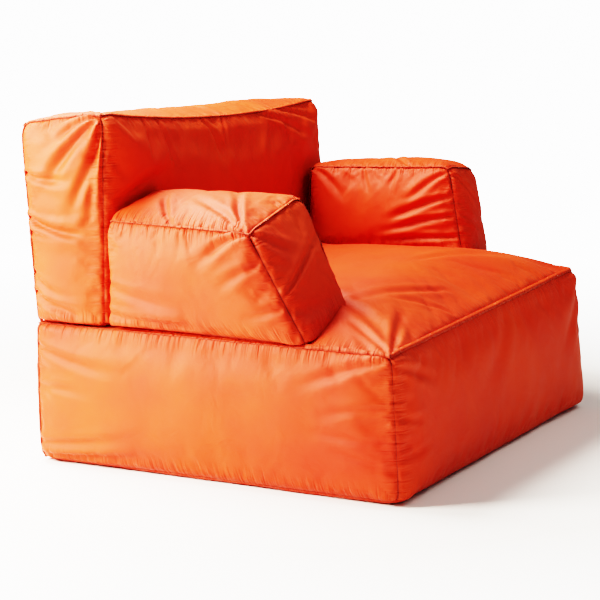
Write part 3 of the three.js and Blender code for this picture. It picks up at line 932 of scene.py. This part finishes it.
def makeTapeMaterial():
    # Woven polyester zip tape, dyed to match the cover, with a fine twill.
    material, tree, shader = newMaterial("woven polyester zip tape", "#A62C02", 0.68)
    place = addNode(tree, "TexCoord").outputs["Object"]
    twill = addNode(tree, "TexWave", {"Scale": 320.0, "bands_direction": "DIAGONAL"}, {"Vector": place})
    bump = addNode(tree, "Bump", {"Strength": 0.5, "Distance": 0.0003}, {"Height": twill.outputs[1]})
    tree.links.new(bump.outputs[0], shader.inputs["Normal"])
    return material


def makeMetalMaterial():
    # Die-cast zinc slider with a dull nickel finish, rubbed brighter by use.
    material, tree, shader = newMaterial("nickel-finished zinc", "#A8A49E", 0.34, 1.0)
    place = addNode(tree, "TexCoord").outputs["Object"]
    scuffs = addNode(tree, "TexNoise", {"Scale": 900.0, "Detail": 3.0}, {"Vector": place})
    rough = addNode(tree, "MapRange", {"To Min": 0.25, "To Max": 0.5}, {"Value": scuffs.outputs[0]})
    tree.links.new(rough.outputs[0], shader.inputs["Roughness"])
    return material


def makeHookMaterial():
    # Knitted nylon hook-and-loop tape: a dense matt pile.
    material, tree, shader = newMaterial("nylon hook-and-loop tape", "#DAD5CC", 0.95)
    place = addNode(tree, "TexCoord").outputs["Object"]
    pile = addNode(tree, "TexVoronoi", {"Scale": 900.0}, {"Vector": place})
    bump = addNode(tree, "Bump", {"Strength": 0.8, "Distance": 0.0008}, {"Height": pile.outputs["Distance"]})
    tree.links.new(bump.outputs[0], shader.inputs["Normal"])
    return material


coverMaterial = makeCoverMaterial()
linerMaterial = makeLinerMaterial()
beadMaterial = makeBeadMaterial()
nodeMaterials = {
    "zip_tape": makeTapeMaterial(),
    "zip_metal": makeMetalMaterial(),
    "hook_and_loop": makeHookMaterial(),
}
for subpart in record["subparts"]:
    material = nodeMaterials.get(subpart["material_slot"])
    if material:
        mesh = frame["nodes"][subpart["node"]].data
        mesh.materials.clear()
        mesh.materials.append(material)

# Building the cushions
pieces = [(coarseCushion(cushion), cushion) for cushion in cushions]
inflate(pieces)
panels = [s["node"] for s in record["subparts"] if s["material_slot"] == "cover_fabric"]
for piece, cushion in pieces:
    finishCover(piece, cushion)
    piece.data.materials.append(coverMaterial)
    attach(piece, "chair")
    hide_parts(*[node for node in panels if node.startswith(cushion["name"] + "_")])
    addInner(cushion)
    print("covered", cushion["name"], len(piece.data.polygons), "quads")


# Floor, light and camera

plainBrightness = 5.0  # of whatever the camera sees far from the chair


def addStage():
    # A paper sheet that runs out into plain brightness, so that no horizon shows.
    material, tree, shader = newMaterial("matt paper backdrop", "#F6F4F1", 0.9)
    place = addNode(tree, "TexCoord").outputs["Object"]
    away = addNode(tree, "VectorMath", {"operation": "LENGTH"}, {0: place})
    glow = addNode(
        tree, "MapRange",
        {"From Min": 0.9, "From Max": 2.6, "To Max": plainBrightness},
        {"Value": away.outputs["Value"]},
    )
    seen = addNode(tree, "LightPath").outputs["Is Camera Ray"]
    strength = addNode(tree, "Math", {"operation": "MULTIPLY"}, {0: glow.outputs[0], 1: seen})
    shader.inputs["Emission Color"].default_value = linear("#FFFFFF")
    tree.links.new(strength.outputs[0], shader.inputs["Emission Strength"])
    edge = 12.0
    points = np.array([[-edge, -edge, 0], [edge, -edge, 0], [edge, edge, 0], [-edge, edge, 0]])
    floor = makeMesh("floor", points, np.array([[0, 1, 2, 3]]))
    floor.location.z = -0.0005
    floor.data.materials.append(material)


def addWorld():
    # Dim, even room light, and plain brightness where the camera sees past the sheet.
    world = bpy.data.worlds.new("studio")
    world.use_nodes = True
    tree = world.node_tree
    room = tree.nodes["Background"]
    room.inputs[0].default_value = linear("#FFFFFF")
    room.inputs[1].default_value = 0.16
    seen = addNode(tree, "LightPath").outputs["Is Camera Ray"]
    plain = addNode(tree, "Background", {"Color": linear("#FFFFFF"), "Strength": plainBrightness})
    both = addNode(tree, "MixShader", links={0: seen, 1: room.outputs[0], 2: plain.outputs[0]})
    tree.links.new(both.outputs[0], tree.nodes["World Output"].inputs[0])
    bpy.context.scene.world = world


def addLight(name, place, target, size, power, colour):
    # A square lamp with that side in metres and that power in watts.
    data = bpy.data.lights.new(name, "AREA")
    data.energy, data.size, data.color = power, size, linear(colour)[:3]
    lamp = bpy.data.objects.new(name, data)
    bpy.context.scene.collection.objects.link(lamp)
    lamp.location = place
    aim(lamp, place, target)


def aim(thing, place, target):
    # Turn a lamp or camera so that its -Z points at the target and its X stays level.
    back = np.subtract(place, target)
    back = back / np.linalg.norm(back)
    right = np.cross((0, 0, 1), back)
    right = right / np.linalg.norm(right)
    up = np.cross(back, right)
    thing.rotation_euler = Matrix(np.stack([right, up, back], axis=1).tolist()).to_euler()


def addCamera():
    # Low, to the right of the front, with a long lens.
    azimuth, elevation, distance = math.radians(-62.704), math.radians(9.834), 4.564
    aside, height = -0.048, 0.290
    across = np.array([math.cos(azimuth), math.sin(azimuth), 0])
    target = across * aside + np.array([0, (seatFront + seatRear) / 2, height])
    level = math.cos(elevation)
    away = np.array([math.sin(azimuth) * level, -math.cos(azimuth) * level, math.sin(elevation)])
    data = bpy.data.cameras.new("camera")
    data.sensor_width = 36
    data.lens = 126.68
    camera = bpy.data.objects.new("camera", data)
    bpy.context.scene.collection.objects.link(camera)
    camera.location = target + away * distance
    aim(camera, target + away * distance, target)
    bpy.context.scene.camera = camera


addStage()
addWorld()
addLight("key", (-1.4, 1.0, 0.95), (0, 0, 0.3), 0.7, 98, "#FFF3E4")
addLight("top", (-0.3, 0.95, 1.9), (0, 0, 0.3), 1.0, 125, "#FFF6EA")
addLight("fill", (0.2, -1.3, 1.7), (0, 0, 0.3), 1.0, 8, "#FFF4E8")
addCamera()
view = bpy.context.scene.view_settings
view.view_transform = "Filmic"
view.look = "Very High Contrast"
view.exposure = 0.4
print("stage, lights and camera placed")
